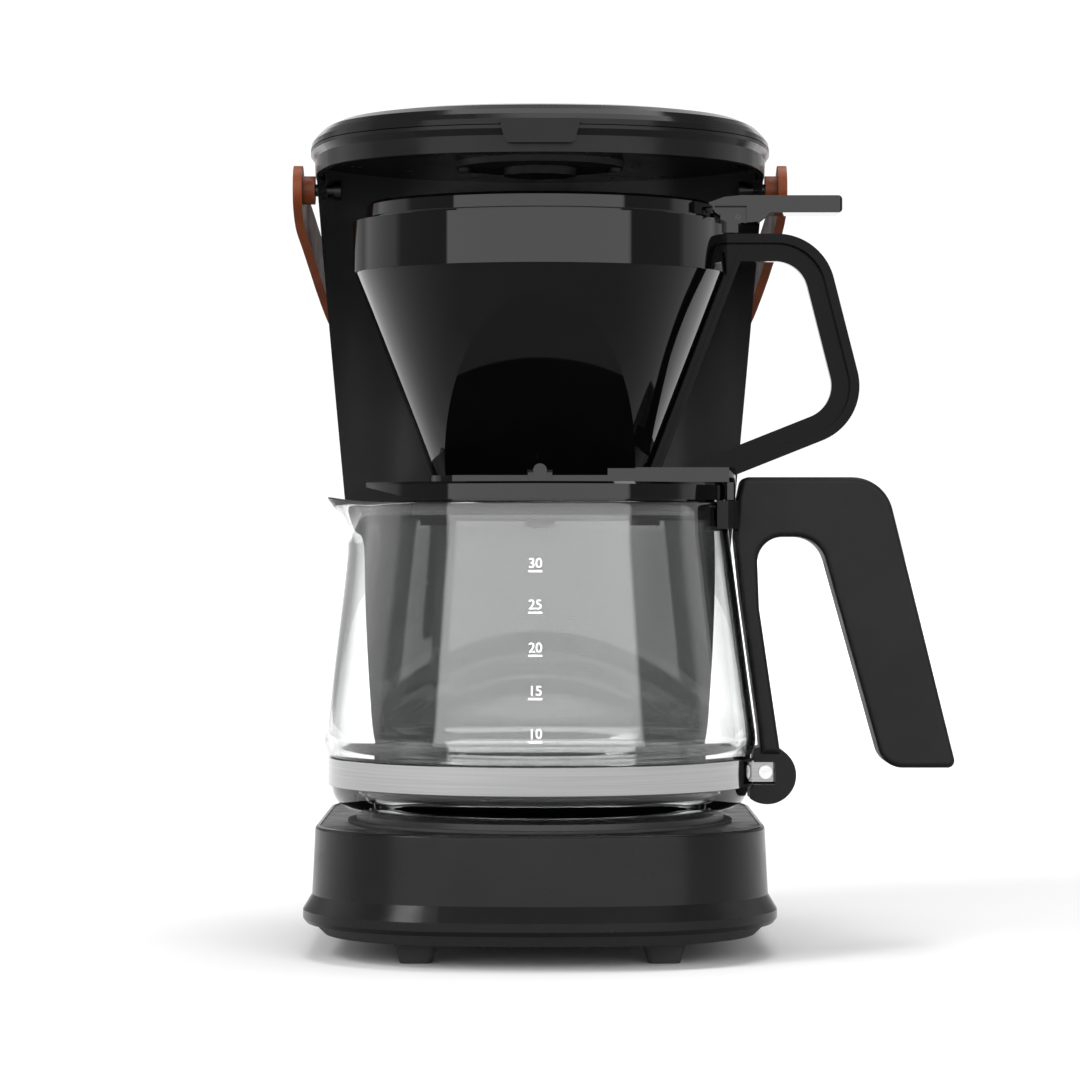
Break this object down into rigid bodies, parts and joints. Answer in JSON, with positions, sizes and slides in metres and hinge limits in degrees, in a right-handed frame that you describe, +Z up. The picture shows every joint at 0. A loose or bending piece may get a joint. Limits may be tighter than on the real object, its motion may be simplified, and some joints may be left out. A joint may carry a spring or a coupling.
{
  "type": "drip coffee maker",
  "caption": "Household drip coffee maker: bucket-shaped body with a leather-look bail, a pour-over dripper with handle, and a glass jug on a hot plate.",
  "frame": {"origin": "on the table under the middle of the whole machine's box", "axes": "+Z up, -Y towards the user, +X towards the jug's handle"},
  "size_m": [0.2387, 0.2302, 0.2964],
  "materials": {
    "body_matte": "fine satin texture, moulded",
    "body_gloss": "polished black",
    "base_dark": "plain moulded",
    "rubber": "soft matt",
    "screw_steel": "zinc plated",
    "plate_coat": "non-stick coated steel",
    "casting": "as cast",
    "heater_steel": "bare strip",
    "silicone": "translucent silicone",
    "grey_plastic": "plain moulded",
    "wire": "glass-fibre sleeving",
    "tank_plastic": "plain moulded",
    "strap": "brown, fine grain",
    "glass": "clear",
    "band_steel": "brushed",
    "handle_matte": "satin",
    "mesh": "woven nylon",
    "brass": "plain"
  },
  "bodies": {
    "machine": {"base_housing": "body_matte", "deck_plate": "body_gloss", "bottom_cover": "base_dark", "cover_posts": "base_dark", "cover_screws": "screw_steel", "rubber_feet": "rubber", "switch_housing": "base_dark", "cord_gland": "rubber", "lead_wires": "wire", "hot_plate": "plate_coat", "hot_plate_seal": "rubber", "heater_casting": "casting", "heating_rod": "heater_steel", "water_spigots": "heater_steel", "heater_strap": "heater_steel", "heater_nut": "screw_steel", "thermostat": "heater_steel", "thermal_fuse": "wire", "column_housing": "body_matte", "column_screws": "screw_steel", "water_tank": "tank_plastic", "tank_strainer": "grey_plastic", "cold_hose": "silicone", "hot_hose": "silicone", "check_valve_seat": "grey_plastic", "hose_clips": "screw_steel", "riser_tube": "silicone", "riser_grommet": "silicone", "head_housing": "body_matte", "spray_head": "body_gloss", "spray_head_screws": "screw_steel", "tank_lid_pin": "screw_steel", "bail_pivot_screws": "screw_steel"},
    "rocker": {"power_rocker": "body_gloss"},
    "tank_lid": {"tank_lid": "body_matte"},
    "bail": {"bail_handle": "strap"},
    "jug": {"jug_glass": "glass", "jug_band": "band_steel", "jug_band_screw": "screw_steel", "jug_band_nut": "screw_steel", "jug_handle": "handle_matte"},
    "jug_lid": {"jug_lid": "body_gloss"},
    "dripper": {"dripper_body": "body_gloss", "dripper_hook": "body_gloss", "dripper_handle": "body_gloss", "dripper_lid_pin": "screw_steel", "filter_frame": "grey_plastic", "filter_mesh": "mesh", "drip_stop_cage": "body_gloss"},
    "dripper_lid": {"dripper_lid": "body_gloss"},
    "drip_stop": {"drip_stop": "body_gloss", "drip_stop_seal": "silicone", "drip_stop_spring": "screw_steel"},
    "valve_ball": {"check_valve_ball": "grey_plastic"}
  },
  "joints": [
    {"name": "tank_lid_hinge", "type": "hinge", "parent": "machine", "child": "tank_lid", "pos_m": [-0.029, 0.1119, 0.2882], "axis": [-1, 0, 0], "range_deg": [0, 95]},
    {"name": "bail_swing", "type": "hinge", "parent": "machine", "child": "bail", "pos_m": [-0.029, 0.0023, 0.275], "axis": [1, 0, 0], "range_deg": [0, 130]},
    {"name": "rocker_tilt", "type": "hinge", "parent": "machine", "child": "rocker", "pos_m": [0.0455, 0.0173, 0.031], "axis": [0, 0, 1], "range_deg": [0, 18]},
    {"name": "jug_slide", "type": "slide", "parent": "machine", "child": "jug", "axis": [0, -1, 0], "range_m": [0, 0.2]},
    {"name": "jug_lid_twist", "type": "hinge", "parent": "jug", "child": "jug_lid", "pos_m": [-0.029, -0.0277, 0.1607], "axis": [0, 0, 1], "range_deg": [0, 20]},
    {"name": "dripper_slide", "type": "slide", "parent": "jug", "child": "dripper", "axis": [0, -1, 0], "range_m": [0, 0.2]},
    {"name": "dripper_lid_hinge", "type": "hinge", "parent": "dripper", "child": "dripper_lid", "pos_m": [0.042, -0.0277, 0.2624], "axis": [0, 1, 0], "range_deg": [0, 3.5]},
    {"name": "drip_stop_lift", "type": "slide", "parent": "dripper", "child": "drip_stop", "axis": [0, 0, 1], "range_m": [0, 0.0025], "stiffness_N_per_m": 250, "springref_m": -0.003, "deforming": ["drip_stop_spring"]},
    {"name": "valve_ball_lift", "type": "slide", "parent": "machine", "child": "valve_ball", "axis": [0, 0, 1], "range_m": [0, 0.0015]}
  ]
}
